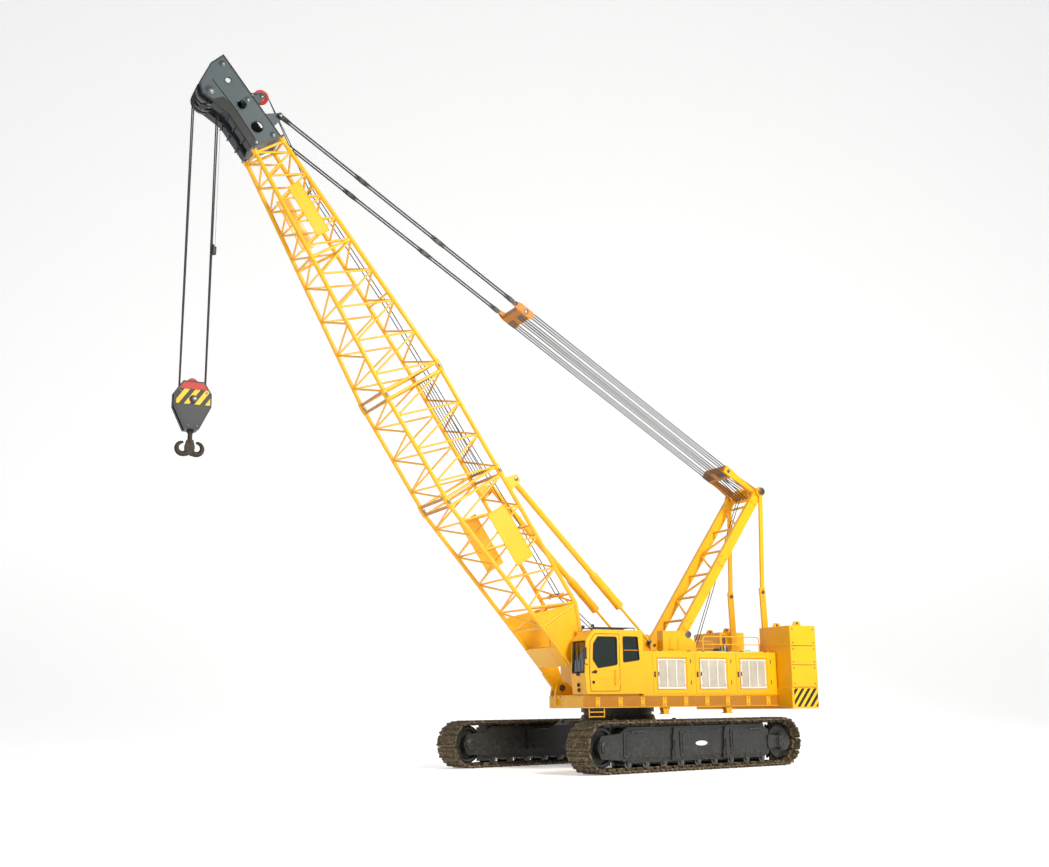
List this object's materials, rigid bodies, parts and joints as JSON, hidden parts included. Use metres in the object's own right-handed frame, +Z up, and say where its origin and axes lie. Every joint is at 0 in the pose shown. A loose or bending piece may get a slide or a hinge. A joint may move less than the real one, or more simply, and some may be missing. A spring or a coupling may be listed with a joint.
{
  "type": "crawler crane",
  "caption": "Crawler crane: slewing platform with cab, counterweight and gantry on two tracks, luffing lattice boom, pendants, backstops, hoist ropes and hook block.",
  "frame": {"origin": "centre of the whole machine's box in X and Y, on the ground below the tracks", "axes": "+Z up, +X the way the boom points, +Y the cab's side; the tracks stand turned 11.9 degrees about +Z from the boom"},
  "size_m": [16.3989, 7.3076, 17.1628],
  "materials": {
    "yellow_paint": "satin",
    "dark_paint": "satin",
    "slate_paint": "satin",
    "shoe_steel": "rough",
    "grille_paint": "satin",
    "bare_steel": "satin",
    "window": "gloss",
    "red_paint": "satin",
    "bridle_paint": "satin",
    "seat_fabric": "matt",
    "wire_rope": "satin",
    "hook_iron": "satin"
  },
  "bodies": {
    "undercarriage": {"carbody": "dark_paint", "left_idler": "dark_paint", "left_sprocket": "dark_paint", "left_track": "shoe_steel", "left_track_frame": "dark_paint", "right_idler": "dark_paint", "right_sprocket": "dark_paint", "right_track": "shoe_steel", "right_track_frame": "dark_paint"},
    "cab_door": {"cab_door": "yellow_paint", "cab_door_glass": "window"},
    "front_winch_drum": {"front_winch_drum": "bare_steel"},
    "rear_winch_drum": {"rear_winch_drum": "bare_steel"},
    "luff_winch_drum": {"luff_winch_drum": "bare_steel"},
    "boom": {"boom_foot": "yellow_paint", "boom_head": "slate_paint", "boom_insert": "yellow_paint", "boom_tip": "yellow_paint", "left_foot_board": "yellow_paint", "left_tip_board": "yellow_paint", "right_foot_board": "yellow_paint", "right_tip_board": "yellow_paint"},
    "head_sheaves": {"head_sheaves": "hook_iron"},
    "guide_sheave": {"guide_sheave": "red_paint"},
    "spreader": {"luffing_spreader": "red_paint"},
    "bridle": {"floating_bridle": "bridle_paint", "luffing_ropes": "wire_rope"},
    "pendants": {"left_pendant": "bare_steel", "right_pendant": "bare_steel"},
    "left_backstop_rod": {"left_backstop_rod": "bare_steel"},
    "left_backstop_tube": {"left_backstop_tube": "yellow_paint"},
    "right_backstop_rod": {"right_backstop_rod": "bare_steel"},
    "right_backstop_tube": {"right_backstop_tube": "yellow_paint"},
    "falls": {"hoist_ropes": "wire_rope"},
    "hook_block": {"hook_block": "slate_paint"},
    "block_sheave": {"block_sheave": "hook_iron"},
    "hook": {"hook": "hook_iron"},
    "superstructure": {"cab_console": "seat_fabric", "cab_rear_side_glass": "window", "cab_seat": "seat_fabric", "cab_shell": "yellow_paint", "counterweight_tray": "yellow_paint", "engine_block": "dark_paint", "gantry_mast": "yellow_paint", "left_counterweight": "yellow_paint", "left_grille_1": "grille_paint", "left_grille_2": "grille_paint", "left_grille_3": "grille_paint", "left_house": "yellow_paint", "left_tension_leg": "yellow_paint", "platform": "yellow_paint", "right_counterweight": "yellow_paint", "right_house": "yellow_paint", "right_louvre": "grille_paint", "right_tension_leg": "yellow_paint", "slew_ring_upper": "bare_steel", "windshield": "window"}
  },
  "joints": [
    {"name": "slew", "type": "hinge", "parent": "undercarriage", "child": "superstructure", "pos_m": [-3.48917, 0, 1.36], "axis": [0, 0, 1], "continuous": true},
    {"name": "cab_door", "type": "hinge", "parent": "superstructure", "child": "cab_door", "pos_m": [-2.60417, 1.7123, 2.5], "axis": [0, 0, 1], "range_deg": [0, 95]},
    {"name": "boom_luff", "type": "hinge", "parent": "superstructure", "child": "boom", "pos_m": [-2.21917, 0, 1.985], "axis": [0, -1, 0], "range_deg": [-27, 23]},
    {"name": "front_winch_drum", "type": "hinge", "parent": "superstructure", "child": "front_winch_drum", "pos_m": [-3.83918, 0, 2.25], "axis": [0, -1, 0], "continuous": true},
    {"name": "rear_winch_drum", "type": "hinge", "parent": "superstructure", "child": "rear_winch_drum", "pos_m": [-4.63917, 0, 2.25], "axis": [0, -1, 0], "continuous": true},
    {"name": "luff_winch_drum", "type": "hinge", "parent": "superstructure", "child": "luff_winch_drum", "pos_m": [-5.50917, 0, 2.22], "axis": [0, -1, 0], "continuous": true},
    {"name": "head_sheaves", "type": "hinge", "parent": "boom", "child": "head_sheaves", "pos_m": [7.70967, 0, 16.1544], "axis": [0, -1, 0], "continuous": true},
    {"name": "guide_sheave", "type": "hinge", "parent": "boom", "child": "guide_sheave", "pos_m": [6.35744, 0, 16.45751], "axis": [0, -1, 0], "continuous": true},
    {"name": "spreader_swing", "type": "hinge", "parent": "superstructure", "child": "spreader", "pos_m": [-7.84918, 0, 7.3], "axis": [0, -1, 0], "range_deg": [-14.5, 12.5]},
    {"name": "bridle_travel", "type": "slide", "parent": "spreader", "child": "bridle", "axis": [0.8513, 0, 0.5247], "range_m": [-3.1, 3.6], "deforming": ["luffing_ropes"]},
    {"name": "pendant_swing", "type": "hinge", "parent": "bridle", "child": "pendants", "pos_m": [-0.45167, 0, 11.85993], "axis": [0, -1, 0], "range_deg": [-20.5, 17.5]},
    {"name": "left_backstop_swing", "type": "hinge", "parent": "superstructure", "child": "left_backstop_rod", "pos_m": [-4.21917, 0, 3.04], "axis": [0, -1, 0], "range_deg": [-24, 20.5]},
    {"name": "left_backstop_travel", "type": "slide", "parent": "left_backstop_rod", "child": "left_backstop_tube", "axis": [0.6993, 0, 0.7148], "range_m": [-0.88, 1.02]},
    {"name": "right_backstop_swing", "type": "hinge", "parent": "superstructure", "child": "right_backstop_rod", "pos_m": [-4.21917, 0, 3.04], "axis": [0, -1, 0], "range_deg": [-24, 20.5]},
    {"name": "right_backstop_travel", "type": "slide", "parent": "right_backstop_rod", "child": "right_backstop_tube", "axis": [0.6993, 0, 0.7148], "range_m": [-0.88, 1.02]},
    {"name": "falls_plumb", "type": "hinge", "parent": "boom", "child": "falls", "pos_m": [7.70967, 0, 16.1544], "axis": [0, -1, 0], "range_deg": [-23, 27]},
    {"name": "hook_travel", "type": "slide", "parent": "falls", "child": "hook_block", "axis": [0, 0, 1], "range_m": [-1, 3.05], "deforming": ["hoist_ropes"]},
    {"name": "block_sheave", "type": "hinge", "parent": "hook_block", "child": "block_sheave", "pos_m": [7.70967, 0, 8.52], "axis": [0, -1, 0], "continuous": true},
    {"name": "hook_swivel", "type": "hinge", "parent": "hook_block", "child": "hook", "pos_m": [7.70967, 0, 7.82], "axis": [0, 0, 1], "continuous": true}
  ],
  "couplings": [
    {"joint": "spreader_swing", "follows": "boom_luff", "ratio": 0.5306},
    {"joint": "bridle_travel", "follows": "boom_luff", "m_per_rad": -7.4183},
    {"joint": "pendant_swing", "follows": "boom_luff", "ratio": 0.7477},
    {"joint": "falls_plumb", "follows": "boom_luff", "ratio": -1},
    {"joint": "left_backstop_swing", "follows": "boom_luff", "ratio": 0.87822},
    {"joint": "left_backstop_travel", "follows": "boom_luff", "m_per_rad": -2.1191},
    {"joint": "right_backstop_swing", "follows": "boom_luff", "ratio": 0.87822},
    {"joint": "right_backstop_travel", "follows": "boom_luff", "m_per_rad": -2.1191}
  ]
}
